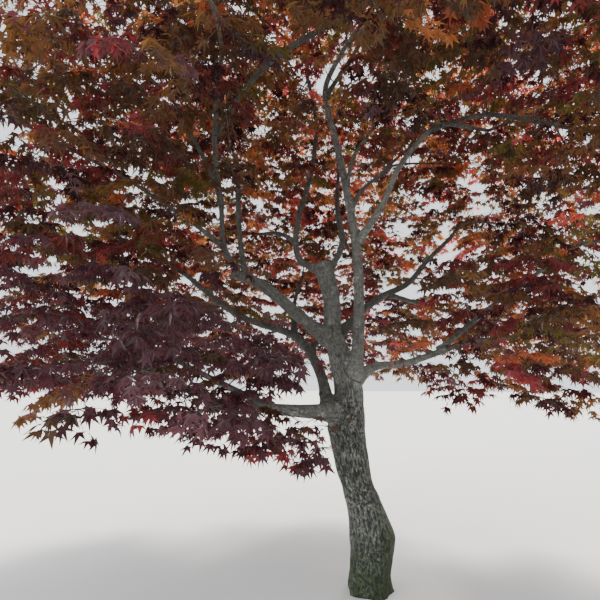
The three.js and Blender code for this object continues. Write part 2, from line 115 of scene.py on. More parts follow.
# name after "foliage_": bough that feeds it, the middle of its space and its half width
masses = {
    "low_left_front": ("low_left", (-1.43, -0.93, 1.56), 0.9),
    "low_left": ("low_left_side", (-2.28, 0.1, 1.85), 0.84),
    "left": ("back_stem", (-2.42, 0.25, 2.87), 0.82),
    "low_left_back": ("back_low_left", (-1.38, 1.48, 2.08), 0.88),
    "back_rise": ("back_rise", (-0.48, 1.13, 2.64), 0.7),
    "low_back": ("back_low", (0.18, 1.88, 2.05), 0.88),
    "low_right": ("low_right", (1, -0.48, 1.8), 0.76),
    "right": ("right_side", (2.24, -0.18, 2.64), 0.86),
    "left_front": ("left_mid", (-1.83, -1.3, 2.78), 0.86),
    "centre_left": ("left_fork_back", (-1.18, 0.15, 3.42), 0.7),
    "upper_left": ("left_fork_front", (-1.7, -0.48, 3.82), 0.84),
    "upper_left_back": ("upper_left_back", (-1.3, 0.98, 4.08), 0.86),
    "front_left": ("front_left", (-1, -1.98, 3.42), 0.8),
    "front": ("front", (0.38, -1.85, 3.4), 0.82),
    "right_back": ("mid_right", (1.65, 0.98, 3.12), 0.88),
    "low_right_back": ("mid_right_low", (1.78, 1.05, 2.08), 0.84),
    "upper_right": ("upper_right", (1.42, -0.42, 3.7), 0.8),
    "right_front": ("right_front", (1.64, -1.48, 2.94), 0.84),
    "centre_right": ("leader_twig", (0.76, 0.48, 3.56), 0.62),
    "upper_right_back": ("upper_right_back", (1.2, 1.05, 4.18), 0.84),
    "leader_front": ("leader_front", (0.16, -0.56, 3.48), 0.52),
    "upper_back": ("stub_right", (-0.06, 1.65, 4.2), 0.84),
    "back": ("back_mid", (0.26, 2.05, 3.12), 0.88),
    "left_back": ("left_back_mid", (-1.42, 1.56, 3.08), 0.88),
    "centre": ("centre_back", (-0.42, 0.9, 3.56), 0.56),
    "top_left": ("stub_left", (-0.9, -0.02, 4.76), 0.8),
    "upper_front": ("leader_fork", (-0.05, -1, 4.46), 0.84),
    "top_right": ("top_right", (0.82, 0.04, 4.86), 0.78),
    "top": ("leader", (-0.02, 0.42, 5.48), 0.82),
}

growth = {
    "clearance": 0.0003,
    "flareHeight": 0.13, "flareFade": 2.5, "flareShare": 0.2, "flareToes": 5, "toeShare": 0.45,
    "limbTaper": 0.8,
    "flatness": 0.56,  # height of a mass's space over its width
    "massGap": 0.012,  # kept clear on each side of a border between masses
    "leafGap": 0.06,  # kept clear between a spray and any limb
    "reach": 0.385,  # hub to middle tip of a spray
    "droop": 0.3,
    "lobes": 5, "lobeSpread": 200, "sideLobeShare": 0.76, "sideLobePower": 1.5,
    "ribPlaces": (0.35, 0.7, 1),
    "leafApart": 0.103, "twigApart": 0.062,
    "twigPlaces": (0.3, 0.55, 0.8),  # where a twig is held against its neighbours
    "twigThick": 0.015, "twigShare": 0.6, "twigTaper": 0.8,
    "stemPast": 0.36, "stemKnee": 0.3, "stemLevel": 0.7, "stemThick": 1.84,
    "stemPlaces": (0.2, 0.34, 0.48, 0.62, 0.76, 0.88, 0.985),
    "branching": (0.3, 0.5, 0.7),
    "shortest": 0.11, "longest": 0.62,
    "throws": 130, "hubShare": 0.66, "rimThin": 0.7,
    "rise": (-30, 6), "roll": 20,
    "tries": (1, 0.88, 0.78, 0.68),
    "woodStep": 0.045,
}

# finer sprays, thrown through the whole crown between the first ones
fineRule = {
    "throws": 8000,
    "room": 1.15,  # half width of the space over the mass's own
    "over": 0.95, "under": 0.5,  # its height above and below the mass's middle, over its width
    "thickest": 0.03,  # radius of the limbs that carry them
    "leafApart": 0.088, "twigApart": 0.03, "leafGap": 0.05,
    "tries": (0.72, 0.58, 0.46), "shortest": 0.08, "longest": 0.6,
    "rise": (-26, 10), "roll": 24,
    # height of the lowest tips, how much higher it is at the far left, and where that begins
    "hem": 1.12, "hemRise": 0.24, "hemLeft": -1.2, "hemRun": 0.3, "hemBack": 0.6,
    # thin places that get more: middle, radius and throws
    "thin": (((-0.42, 0.3, 4.2), 0.42, 260), ((-1.1, -0.8, 1.45), 0.62, 420)),
    # sprays that hang beside the trunk, grown last
    "besideTrunk": {"place": ((-0.54, -0.85, 1.17), (0.32, 0.42, 0.14), 800),
                    "rise": (-10, 10), "roll": 15, "hem": 1.05},
}

upward = np.array((0.0, 0.0, 1.0))


def mix(low, high, share):
    return low + (high - low) * share


def clamp(value):
    return min(1, max(0, value))


def either(rng, most):
    return rng.uniform(-most, most)


def unit(way):
    return way / np.linalg.norm(way)


def lengthsOf(rows):
    return np.linalg.norm(rows, axis=-1)


class Curve:
    # the same smooth line through a limb's bends as in the part's source
    def __init__(self, points):
        self.points = np.array(points, dtype=float)

    def at(self, share):
        p = self.points
        last = len(p) - 1
        place = last * clamp(share)
        k = min(int(place), last - 1)
        w = place - k
        before = p[k - 1] if k > 0 else 2 * p[0] - p[1]
        after = p[k + 2] if k + 2 <= last else 2 * p[last] - p[last - 1]
        t0, t1 = 0.5 * (p[k + 1] - before), 0.5 * (after - p[k])
        bend = -3 * p[k] + 3 * p[k + 1] - 2 * t0 - t1
        turn = 2 * p[k] - 2 * p[k + 1] + t0 + t1
        return p[k] + t0 * w + bend * w * w + turn * w ** 3

    def run(self, share):
        return unit(self.at(min(1, share + 1e-4)) - self.at(max(0, share - 1e-4)))

    def length(self):
        places = np.array([self.at(i / 200) for i in range(201)])
        return float(lengthsOf(np.diff(places, axis=0)).sum())


def plainTrunk(share):
    station = share * (len(trunkStations) - 1)
    below = min(int(station), len(trunkStations) - 2)
    return mix(trunkStations[below][3], trunkStations[below + 1][3], station - below) / 2


def trunkRadius(share):
    # between two toes of the foot
    height = curves["trunk"].at(share)[2]
    flare = growth["flareShare"] * math.exp(-growth["flareFade"] * height / growth["flareHeight"])
    return plainTrunk(share) * (1 + flare * (1 - growth["toeShare"]))


curves = {"trunk": Curve([station[:3] for station in trunkStations])}
limbRadius = {"trunk": trunkRadius}
for name, (parent, leaves, way, thick) in boughs.items():
    curves[name] = Curve([curves[parent].at(leaves), *way])
    limbRadius[name] = lambda share, thick=thick: mix(*thick, share ** growth["limbTaper"]) / 2

limbLengths = {name: curve.length() for name, curve in curves.items()}


def stepsAlong(limbs, gap, shown=None):
    # limbs with shares along them, no farther apart than the gap
    for limb in limbs:
        end = shown[limb] if shown else 1
        steps = math.ceil(limbLengths[limb] * end / gap)
        for i in range(steps + 1):
            yield limb, i / steps * end


woodSteps = list(stepsAlong(curves, growth["woodStep"]))
woodSpots = np.array([curves[limb].at(share) for limb, share in woodSteps])
woodRadii = np.array([limbRadius[limb](share) for limb, share in woodSteps])
print("limbs:", len(curves))

# Growth of the masses


def dice(seed):
    # the same seeded numbers as in the part's source
    full = 0xFFFFFFFF
    state = seed & full

    def roll():
        nonlocal state
        state = (state + 0x6D2B79F5) & full
        mixed = ((state ^ (state >> 15)) * (state | 1)) & full
        mixed ^= (mixed + (((mixed ^ (mixed >> 7)) * (mixed | 61)) & full)) & full
        return (mixed ^ (mixed >> 14)) / 4294967296
    return roll


def heading(turn, rise):
    turn, rise = math.radians(turn), math.radians(rise)
    return np.array((math.cos(rise) * math.cos(turn), math.cos(rise) * math.sin(turn), math.sin(rise)))


def clearOfWood(start, end, gap):
    way = end - start
    share = np.clip((woodSpots - start) @ way / (way @ way), 0, 1)
    nearest = start + share[:, None] * way
    return bool(np.all(lengthsOf(nearest - woodSpots) > woodRadii + gap))


massNames = ["foliage_" + name for name in masses]
massFeeds, centres, spreads = zip(*masses.values())
centres, spreads = np.array(centres), np.array(spreads)
squash = np.array((1, 1, 1 / growth["flatness"]))


def inSpace(point, index):
    # inside the mass's own ball, and on its own side of every border
    squares = (((point - centres) * squash) ** 2).sum(axis=1)
    if squares[index] > (spreads[index] - growth["massGap"]) ** 2:
        return False
    apart = np.sqrt((((centres - centres[index]) * squash) ** 2).sum(axis=1))
    lead = squares - spreads ** 2 - (squares[index] - spreads[index] ** 2)
    ahead = lead > 2 * apart * growth["massGap"]
    ahead[index] = True
    return bool(ahead.all())


def lobeOf(i):
    # how far a spray's lobe turns off its middle one, in degrees, and its share of the reach
    side = 2 * i / (growth["lobes"] - 1) - 1
    share = mix(1, growth["sideLobeShare"], abs(side) ** growth["sideLobePower"])
    return side * growth["lobeSpread"] / 2, share


def shapeSpray(hub, root, rise, roll, reach):
    run = hub - root
    ahead = heading(math.degrees(math.atan2(run[1], run[0])), rise)
    level = unit(np.cross(upward, ahead))
    lean = math.radians(roll)
    across = level * math.cos(lean) + np.cross(ahead, level) * math.sin(lean)
    over = np.cross(ahead, across)
    tips = []
    for i in range(growth["lobes"]):
        turn, share = lobeOf(i)
        turn, far = math.radians(turn), reach * share
        tips.append(hub + ahead * far * math.cos(turn) + across * far * math.sin(turn)
                    - over * growth["droop"] * far * far / reach)
    ribs = np.array([mix(hub, tip, share) for tip in tips for share in growth["ribPlaces"]])
    return {"hub": hub, "root": root, "ahead": ahead, "across": across, "over": over, "reach": reach,
            "tips": tips, "ribs": ribs}


def growSpray(mass, hub, rise, roll, rule, inside):
    # one spray on the nearest wood, as large as its neighbours leave it room
    away = lengthsOf(mass["wood"] - hub)
    nearest = int(away.argmin())
    root, thick = mass["wood"][nearest], mass["thick"][nearest]
    if not rule["shortest"] <= away[nearest] <= rule["longest"]:
        return
    if not clearOfWood(mix(root, hub, growth["twigPlaces"][0]), hub, rule["leafGap"]):
        return
    farthest = max(away[nearest], growth["reach"] * rule["tries"][0]) + rule["leafApart"]
    ribs = mass["ribs"][np.abs(mass["ribs"] - hub).max(axis=1, initial=0) < farthest]
    for share in growth["twigPlaces"]:
        if len(ribs) and lengthsOf(ribs - mix(root, hub, share)).min() < rule["twigApart"]:
            return
    for size in rule["tries"]:
        spray = shapeSpray(hub, root, rise, roll, growth["reach"] * size)
        if len(ribs) and lengthsOf(spray["ribs"][:, None] - ribs[None]).min() <= rule["leafApart"]:
            continue
        if not all(inside(tip) and clearOfWood(hub, tip, rule["leafGap"]) for tip in spray["tips"]):
            continue
        spray["foot"] = min(growth["twigThick"], thick * growth["twigShare"])
        mass["ribs"] = np.concatenate([mass["ribs"], spray["ribs"]])
        mass["sprays"].append(spray)
        for place in growth["branching"]:
            mass["wood"] = np.vstack([mass["wood"], mix(root, hub, place)])
            mass["thick"].append(mix(spray["foot"], spray["foot"] * growth["twigTaper"], place))
        return


def throwHubs(wood, middle, spread, roll):
    hubs = []
    share = growth["hubShare"] * spread
    for _ in range(growth["throws"]):
        turn = mix(0, 360, roll())
        out = math.sqrt(roll())
        level = mix(-1, 1, roll()) * math.sqrt(1 - growth["rimThin"] * out * out)
        hub = middle + heading(turn, 0) * out * share + upward * level * share * growth["flatness"]
        rise = mix(*growth["rise"], roll())
        tilt = mix(-growth["roll"], growth["roll"], roll())
        hubs.append((hub, rise, tilt))
    return sorted(hubs, key=lambda spot: lengthsOf(wood - spot[0]).min())


def growMass(index):
    roll = dice(101 + 17 * index)
    curve, tipRadius = curves[massFeeds[index]], limbRadius[massFeeds[index]](1)
    middle, spread = centres[index], spreads[index]
    onward = curve.run(1)
    start = curve.at(1) + onward * growth["clearance"]
    run = middle - start
    end = middle + unit(run) * spread * growth["stemPast"]
    end[2] = mix(end[2], middle[2], growth["stemLevel"])
    knee = start + onward * np.linalg.norm(run) * growth["stemKnee"]
    stem = Curve([start, knee, middle, end])

    def thickness(share):
        return mix(tipRadius * growth["stemThick"], growth["twigThick"], share)
    mass = {"stem": stem, "thickness": thickness, "sprays": [], "ribs": np.empty((0, 3)),
            "wood": np.array([stem.at(share) for share in growth["stemPlaces"]]),
            "thick": [thickness(share) for share in growth["stemPlaces"]]}
    for hub, rise, tilt in throwHubs(mass["wood"], middle, spread, roll):
        growSpray(mass, hub, rise, tilt, growth, lambda tip: inSpace(tip, index))
    return mass


crown = [growMass(index) for index in range(len(massNames))]
firstSprays = [spray for mass in crown for spray in mass["sprays"]]
print("sprays:", len(firstSprays))


def inCrown(point):
    away = point - centres
    flatness = np.where(away[:, 2] > 0, fineRule["over"], fineRule["under"])
    squares = away[:, 0] ** 2 + away[:, 1] ** 2 + (away[:, 2] / flatness) ** 2
    return bool((squares < (spreads * fineRule["room"]) ** 2).any())


def inReach(tip):
    # inside the box of the solids, and above the crown's lower edge
    farLeft = clamp((fineRule["hemLeft"] - tip[0]) / fineRule["hemRun"])
    farLeft *= clamp(fineRule["hemBack"] - tip[1])
    if tip[2] < fineRule["hem"] + fineRule["hemRise"] * farLeft:
        return False
    return all(low <= value <= high for low, value, high in zip(cadBox[0], tip, cadBox[1]))


def throwInBall(rng):
    return Vector([rng.gauss(0, 1) for _ in range(3)]).normalized() * rng.random() ** (1 / 3)


def scatter(rng, middle, halfSize, throws):
    return [np.array(middle) + np.array(throwInBall(rng)) * halfSize for _ in range(throws)]


def growOutward(whole, hubs, rng, rule, inside):
    # the hubs nearest to wood come first, so that others can grow on from their twigs
    for hub in sorted(hubs, key=lambda hub: lengthsOf(whole["wood"] - hub).min()):
        rise, roll = rng.uniform(*rule["rise"]), either(rng, rule["roll"])
        growSpray(whole, hub, rise, roll, fineRule, inside)


def fillCrown():
    # finer sprays on the thin limbs, the stems and the first sprays' twigs
    rng = random.Random(23)
    thin = woodRadii < fineRule["thickest"]
    whole = {"sprays": [], "ribs": np.concatenate([mass["ribs"] for mass in crown]),
             "wood": np.concatenate([mass["wood"] for mass in crown] + [woodSpots[thin]]),
             "thick": sum((mass["thick"] for mass in crown), []) + list(2 * woodRadii[thin])}
    hubs = []
    for _ in range(fineRule["throws"]):
        k = rng.choices(range(len(massNames)), spreads ** 2)[0]
        throw = throwInBall(rng)
        hub = centres[k] + np.array(throw) * spreads[k] * fineRule["room"]
        hub[2] = centres[k][2] + throw.z * spreads[k] * fineRule["over"]
        if inCrown(hub):
            hubs.append(hub)
    for place in fineRule["thin"]:
        hubs += scatter(rng, *place)
    growOutward(whole, hubs, rng, fineRule, inReach)
    beside = fineRule["besideTrunk"]
    growOutward(whole, scatter(rng, *beside["place"]), rng, beside, lambda tip: tip[2] > beside["hem"])
    return whole["sprays"]


fineSprays = fillCrown()
print("finer sprays:", len(fineSprays))

# Twigs and leaves from arrays


def addObject(name, data):
    obj = bpy.data.objects.new(name, data)
    bpy.context.scene.collection.objects.link(obj)
    return obj


def joinParts(name, parts, smooth):
    # one mesh of many parts, each given as points and triangles
    starts = np.cumsum([0] + [len(points) for points, _ in parts])
    points = np.concatenate([points for points, _ in parts])
    triangles = np.concatenate([faces + start for (_, faces), start in zip(parts, starts)])
    mesh = bpy.data.meshes.new(name)
    mesh.from_pydata(points.tolist(), [], triangles.tolist(), shade_flat=not smooth)
    mesh.validate()
    return addObject(name, mesh)


def onEach(faces, count, each):
    # the faces of one copy, on many copies of so many points each
    return (np.array(faces) + np.arange(count)[:, None, None] * each).reshape(-1, 3)


def sweepRuns(runs, radii, sides):
    # thin closed tubes, one for each run of points, each ending in a point
    runs, radii = np.array(runs), np.array(radii)
    count, stops = runs.shape[:2]
    along = np.gradient(runs, axis=1)
    along /= lengthsOf(along)[..., None]
    side = np.cross(along, (0.13, 0.07, 1.0))  # a little off upright, so that no twig runs along it
    side /= lengthsOf(side)[..., None]
    front = np.cross(side, along)
    turns = np.arange(sides) * 2 * math.pi / sides
    ring = side[:, :-1, None] * np.cos(turns)[:, None] + front[:, :-1, None] * np.sin(turns)[:, None]
    rings = runs[:, :-1, None] + ring * radii[:, :-1, None, None]
    points = np.concatenate([rings.reshape(count, -1, 3), runs[:, -1:]], axis=1)
    triangles = []
    for k in range(stops - 2):
        for i in range(sides):
            a, b = k * sides + i, k * sides + (i + 1) % sides
            triangles += [(a, b + sides, b), (a, a + sides, b + sides)]
    tip = (stops - 1) * sides
    triangles += [(tip - sides + i, tip, tip - sides + (i + 1) % sides) for i in range(sides)]
    triangles += [(0, i, i + 1) for i in range(1, sides - 1)]
    return points.reshape(-1, 3), onEach(triangles, count, points.shape[1])


twigLook = {
    "stemStops": 9, "twigStops": 4, "ribStops": 4, "fineRibStops": 3,
    "stemSides": 7, "twigSides": 4, "ribSides": 3,
    "ribFoot": 0.0026, "twigletFoot": 0.0018, "tip": 0.0007,
    "twigEnd": 0.5, "thinnest": 0.002,  # a twig's end over its foot, and its least radius
    "fineBelow": 0.95,  # size of a fine spray over the smallest first ones
    "fineFoot": 0.6,
    "ribShare": 0.84,  # twig along a rib, as a share of the spray's lobe
    "ribTurn": 9, "ribBend": 0.12,
    "twigletPlaces": (0.3, 0.6), "fineTwigletPlaces": (0.45,),
    "twigletShare": 0.42, "twigletGain": 1.15, "twigletLoss": 0.6, "uneven": (0.8, 1.2),
    "twigletTurn": 46, "twigletSway": 14, "twigletRise": (-0.25, 0.16),
    "sway": 0.012, "sag": 0.01,
}

leafLook = {
    "radius": (0.048, 0.066),  # hub to middle tip
    "petiole": (0.014, 0.03), "petioleRise": (-0.014, 0.012),
    "petioleWidth": 0.0014,
    "spacing": 0.064, "fineSpacing": 0.084, "uneven": (0.8, 1.2),
    "onTwig": 0.55, "onRib": 0.3, "onTwiglet": 0.6,  # how far along each the leaves begin
    "endGap": 0.012, "pairShare": 0.9,
    "turn": 58, "sway": 16,  # degrees off the twig
    "hang": (6, 72),  # degrees below level
    "roll": 30, "twist": 0.2, "steep": 0.05,
    "ownTint": 0.5,  # share of side sprays with a tint of their own
    "roughness": 0.32, "specular": 0.34, "through": 0.5,
}

# tint: colour by reflected light, colour of light that shines through, its weight everywhere and
# what is added high up, in sunny drifts and in the purple part, and where that counts
tints = {
    "Plum": ((0.018, 0.009, 0.011), (0.1, 0.018, 0.022), (1.5, 0, -0.7, 0), "anywhere"),
    "Maroon": ((0.034, 0.015, 0.014), (0.28, 0.046, 0.036), (1.7, 0, 0, -0.9), "anywhere"),
    "Wine": ((0.05, 0.019, 0.022), (0.5, 0.072, 0.08), (0.7, 0, 0, -0.5), "anywhere"),
    "Umber": ((0.031, 0.023, 0.015), (0.19, 0.087, 0.036), (2.3, 0, 0, -1.1), "anywhere"),
    "Tawny": ((0.053, 0.036, 0.022), (0.37, 0.15, 0.052), (1.3, 0.6, 0, 0), "mostlyBrown"),
    "Bronze": ((0.06, 0.043, 0.023), (0.43, 0.195, 0.058), (0.9, 0.6, 0, 0), "brown"),
    "Olive": ((0.04, 0.038, 0.018), (0.28, 0.195, 0.04), (0.5, 0.4, 0, 0), "brown"),
    "Russet": ((0.078, 0.035, 0.021), (0.86, 0.22, 0.08), (0.5, 0, 1.2, 0), "bright"),
    "Copper": ((0.115, 0.052, 0.025), (1.0, 0.41, 0.13), (0.2, 0, 0.8, 0), "bright"),
    "Scarlet": ((0.086, 0.027, 0.027), (1.0, 0.175, 0.14), (0.15, 0, 0.5, 0), "brightest"),
    "Mauve": ((0.094, 0.066, 0.08), (0.24, 0.066, 0.07), (0.15, 0, 0, 2.9), "anywhere"),
    "Dusk": ((0.046, 0.03, 0.039), (0.155, 0.033, 0.038), (0.3, 0, 0, 4.6), "anywhere"),
}

tintPlaces = {
    "highFrom": 2.0, "highOver": 2.6,
    "driftScale": 1.7, "driftGain": 1.6,
    "purpleTop": 2.35, "purpleFade": 0.5, "purpleRight": -0.2, "purpleSharp": 3, "purpleGain": 1.2,
    "mostly": 0.9,
    "brightLeast": 0.3, "brightFrom": -1.1, "brightOver": 1.8,
}


def pickTint(rng, place):
    # bright in drifts high up and at the back, purple low on the left, brown and dark elsewhere
    x, y, z = place
    look = tintPlaces
    high = clamp((z - look["highFrom"]) / look["highOver"])
    sun = high * clamp(0.5 + look["driftGain"] * noise.noise(Vector(place) * look["driftScale"]))
    low = clamp((look["purpleTop"] - z) / look["purpleFade"])
    right = math.exp(look["purpleSharp"] * (x - look["purpleRight"]))
    purple = min(1, look["purpleGain"] * low / (1 + right))
    bright = look["brightLeast"] + clamp((y - look["brightFrom"]) / look["brightOver"])
    bright *= 1 - purple
    counts = {"anywhere": 1, "mostlyBrown": 1 - look["mostly"] * purple, "brown": 1 - purple,
              "bright": bright, "brightest": bright * bright}
    weights = []
    for _, _, (even, whenHigh, whenSunny, whenPurple), where in tints.values():
        weight = even + high * whenHigh + sun * whenSunny + purple * whenPurple
        weights.append(weight * counts[where])
    return rng.choices(list(tints), weights)[0]


# Sights kept open

cameraView = {"place": (-0.508, -3.6, 1.5), "rise": 10, "lens": 27.18, "sensor": 36, "clip": 200}

# how far along each limb is seen past the leaves in front of it
shownLimbs = {
    "trunk": 1, "leader": 1, "low_left": 0.5, "back_stem": 0.75, "low_right": 1, "right_side": 0.3,
    "left_bough": 1, "left_fork_front": 0.5, "left_fork_back": 0.6, "left_mid": 0.3, "mid_right": 1,
    "upper_right": 1, "leader_twig": 0.6, "stub_left": 0.45, "stub_right": 0.3,
}

# openings on the crown's middle, and how wide
openSpots = [((0.3, 0, 2.72), 0.11), ((1.05, 0, 2.95), 0.14)]
sightLook = {
    "step": 0.03, "search": 0.07,
    "inFront": 0.06,  # a leaf this much nearer than the limb hides it
    "margin": 0.018,
    "crossing": 0.05, "openLeaves": 0.1,  # share of the leaves that stay
    "openEdge": (0.7, 1.15),
}


def sightOf(place):
    # where a place is seen from the camera, and how far off it is
    x, y, z = (value - eye for value, eye in zip(place, cameraView["place"]))
    return Vector((x / y, z / y, 0)), y


def treeOf(places):
    tree = KDTree(len(places))
    for i, place in enumerate(places):
        tree.insert(place, i)
    tree.balance()
    return tree


limbSights = [(*sightOf(curves[limb].at(share)), limbRadius[limb](share))
              for limb, share in stepsAlong(shownLimbs, sightLook["step"], shownLimbs)]
sightTree = treeOf([sight[0] for sight in limbSights])
openSights = [(*sightOf(place), radius) for place, radius in openSpots]


def kept(rng, place):
    # most leaves in front of a shown limb or of an opening are left off
    spot, depth = sightOf(place)
    for _, i, apart in sightTree.find_range(spot, sightLook["search"]):
        limbDepth, radius = limbSights[i][1:]
        if depth < limbDepth - sightLook["inFront"] and apart < radius / limbDepth + sightLook["margin"]:
            return rng.random() < sightLook["crossing"]
    for middle, openDepth, radius in openSights:
        if (spot - middle).length < radius / openDepth * rng.uniform(*sightLook["openEdge"]):
            return rng.random() < sightLook["openLeaves"]
    return True


def even(stops):
    return [i / (stops - 1) for i in range(stops)]


def taper(foot, tip, stops):
    return [mix(foot, tip, share) for share in even(stops)]


def wander(start, end, rng):
    # a slightly wandering way from start to end
    sway = Vector([either(rng, 1) for _ in range(3)]) * twigLook["sway"]
    middle = (start + end) / 2 + sway - Vector((0, 0, twigLook["sag"]))
    return [start * (1 - t) ** 2 + middle * 2 * t * (1 - t) + end * t * t
            for t in even(twigLook["twigStops"])]


def placeLeaf(places, at, way, rng, side):
    # one leaf on its stalk; side is -1, 0 or 1
    turn = math.radians(leafLook["turn"] + either(rng, leafLook["sway"])) * side
    level = Vector((way.x, way.y, 0))
    level = level.normalized() if level.length > leafLook["steep"] else Vector((1, 0, 0))
    out = Quaternion((0, 0, 1), turn + either(rng, leafLook["twist"])) @ level
    stalk = out * rng.uniform(*leafLook["petiole"])
    stalk.z += rng.uniform(*leafLook["petioleRise"])
    hub = at + stalk
    if not kept(rng, hub):
        return
    hang = math.radians(rng.uniform(*leafLook["hang"]))
    front = out * math.cos(hang) - Vector(upward) * math.sin(hang)
    normal = out * math.sin(hang) + Vector(upward) * math.cos(hang)
    normal = Quaternion(front, math.radians(either(rng, 1) * leafLook["roll"])) @ normal
    places.append((*hub, *front, *normal, rng.uniform(*leafLook["radius"]), *at))


def dressRun(places, stops, rng, first, spacing, ends):
    # leaves in pairs along a twig, and one or two at its end
    lengths = [(b - a).length for a, b in zip(stops, stops[1:])]
    total = sum(lengths)
    place = first * total
    while place < total - leafLook["endGap"]:
        rest, k = place, 0
        while rest > lengths[k]:
            rest -= lengths[k]
            k += 1
        way = stops[k + 1] - stops[k]
        at = stops[k] + way * (rest / lengths[k])
        for side in (-1, 1):
            if rng.random() < leafLook["pairShare"]:
                placeLeaf(places, at, way, rng, side)
        place += spacing * rng.uniform(*leafLook["uneven"])
    for side in ends:
        placeLeaf(places, stops[-1], stops[-1] - stops[-2], rng, side)


def growRib(spray, i, rng, stops):
    # the twig along one lobe of a spray, which side is up, and its length
    hub, ahead, across, over = (Vector(spray[key]) for key in ("hub", "ahead", "across", "over"))
    turn, share = lobeOf(i)
    turn = math.radians(turn + either(rng, twigLook["ribTurn"]))
    length = spray["reach"] * share * twigLook["ribShare"]
    way = ahead * math.cos(turn) + across * math.sin(turn)
    aside = way.cross(over) * either(rng, twigLook["ribBend"])
    droop = over * growth["droop"]
    rib = []
    for k in range(stops):
        far = length * k / (stops - 1)
        rib.append(hub + way * far + aside * far * far / length - droop * far * far / spray["reach"])
    return rib, over, length


def growTwiglet(rib, over, length, place, hand, rng):
    # a side twig, from a place along the rib to the hand's side
    k = place * (len(rib) - 1)
    base = rib[int(k)].lerp(rib[int(k) + 1], k - int(k))
    run = (rib[int(k) + 1] - rib[int(k)]).normalized()
    turn = hand * (twigLook["twigletTurn"] + either(rng, twigLook["twigletSway"]))
    way = Quaternion(over, math.radians(turn)) @ run
    way.z += rng.uniform(*twigLook["twigletRise"])
    shrink = twigLook["twigletGain"] - place * twigLook["twigletLoss"]
    tip = base + way * length * twigLook["twigletShare"] * shrink * rng.uniform(*twigLook["uneven"])
    return [base, tip]


def growTwigs():
    # the wood of every spray, and where its leaves go
    leaves = {tint: [] for tint in tints}
    shares = even(twigLook["stemStops"])
    stems = [[mass["stem"].at(share) for share in shares] for mass in crown]
    stemRadii = [[mass["thickness"](share) / 2 for share in shares] for mass in crown]
    main, mainRadii, ribs, fineRibs, twiglets = [], [], [], [], []
    rng = random.Random(7)
    for spray in firstSprays + fineSprays:
        fine = spray["reach"] < growth["reach"] * growth["tries"][-1] * twigLook["fineBelow"]
        sprayTint = pickTint(rng, spray["hub"])
        twig = wander(Vector(spray["root"]), Vector(spray["hub"]), rng)
        main.append(twig)
        spacing = leafLook["fineSpacing" if fine else "spacing"]
        foot = spray["foot"] / 2 * (twigLook["fineFoot"] if fine else 1)
        end = max(twigLook["thinnest"], foot * twigLook["twigEnd"])
        mainRadii.append(taper(foot, end, twigLook["twigStops"]))
        dressRun(leaves[sprayTint], twig, rng, leafLook["onTwig"], spacing, ())
        for i in range(growth["lobes"]):
            ownTint = rng.random() < leafLook["ownTint"]
            places = leaves[pickTint(rng, spray["hub"]) if ownTint else sprayTint]
            rib, over, length = growRib(spray, i, rng, twigLook["fineRibStops" if fine else "ribStops"])
            (fineRibs if fine else ribs).append(rib)
            dressRun(places, rib, rng, leafLook["onRib"], spacing, (0, rng.choice((-1, 1))))
            hand = rng.choice((-1, 1))
            for place in twigLook["fineTwigletPlaces" if fine else "twigletPlaces"]:
                hand = -hand
                twiglet = growTwiglet(rib, over, length, place, hand, rng)
                twiglets.append(twiglet)
                dressRun(places, twiglet, rng, leafLook["onTwiglet"], spacing, (0,))

    def thinRuns(runs, foot):
        radii = [taper(twigLook[foot], twigLook["tip"], len(runs[0]))] * len(runs)
        return sweepRuns(runs, radii, twigLook["ribSides"])
    parts = [sweepRuns(stems, stemRadii, twigLook["stemSides"]),
             sweepRuns(main, mainRadii, twigLook["twigSides"]),
             thinRuns(ribs, "ribFoot"), thinRuns(fineRibs, "ribFoot")]
    twigPiece = joinParts("twigs", parts, True)
    return twigPiece, joinParts("fineTwigs", [thinRuns(twiglets, "twigletFoot")], True), leaves


heavyTwigs, fineTwigs, leafPlaces = growTwigs()
print("twig faces:", len(heavyTwigs.data.polygons), len(fineTwigs.data.polygons))

# the right half of a leaf's outline, from its tip to the stalk: degrees off the middle rib and share
# of the radius, of a lobe and a notch in turn
sevenLobes = [(0, 1), (19, 0.4), (39, 0.92), (60, 0.36), (80, 0.72), (102, 0.27), (124, 0.44), (180, 0.07)]
fiveLobes = [(0, 1), (25, 0.4), (52, 0.86), (82, 0.3), (112, 0.5), (180, 0.06)]
leafShape = {
    "stretch": (0.9, 1.1), "turn": 5,
    "cup": 0.26,  # how far the tips bend down
    "notchBelow": 0.42, "notchLift": 0.045,
    "kinds": 4,  # of each outline
}


def leafTemplate(half, rng):
    # x sideways, y towards the middle tip, z out of its upper side
    outline = half + [(-turn, share) for turn, share in half[-2:0:-1]]
    bm = bmesh.new()
    rim = bmesh.ops.create_circle(bm, segments=len(outline), radius=1)["verts"]
    rim = sorted(rim, key=lambda vert: math.atan2(vert.co.x, vert.co.y) % math.tau)
    for vert, (turn, share) in zip(rim, outline):
        far = share * rng.uniform(*leafShape["stretch"])
        turn += either(rng, leafShape["turn"]) if turn % 180 else 0
        lift = 0 if share > leafShape["notchBelow"] else leafShape["notchLift"]
        turn = math.radians(turn)
        vert.co = (math.sin(turn) * far, math.cos(turn) * far, lift - leafShape["cup"] * far * far)
    start = len(outline) // 2
    foot, rim = rim[start], rim[start + 1:] + rim[:start]
    for left, right in zip(rim, rim[1:]):
        bm.faces.new((foot, right, left))
    bm.normal_update()
    bm.verts.index_update()
    points = np.array([vert.co[:] for vert in bm.verts])
    triangles = np.array([[vert.index for vert in face.verts] for face in bm.faces])
    bm.free()
    return points, triangles


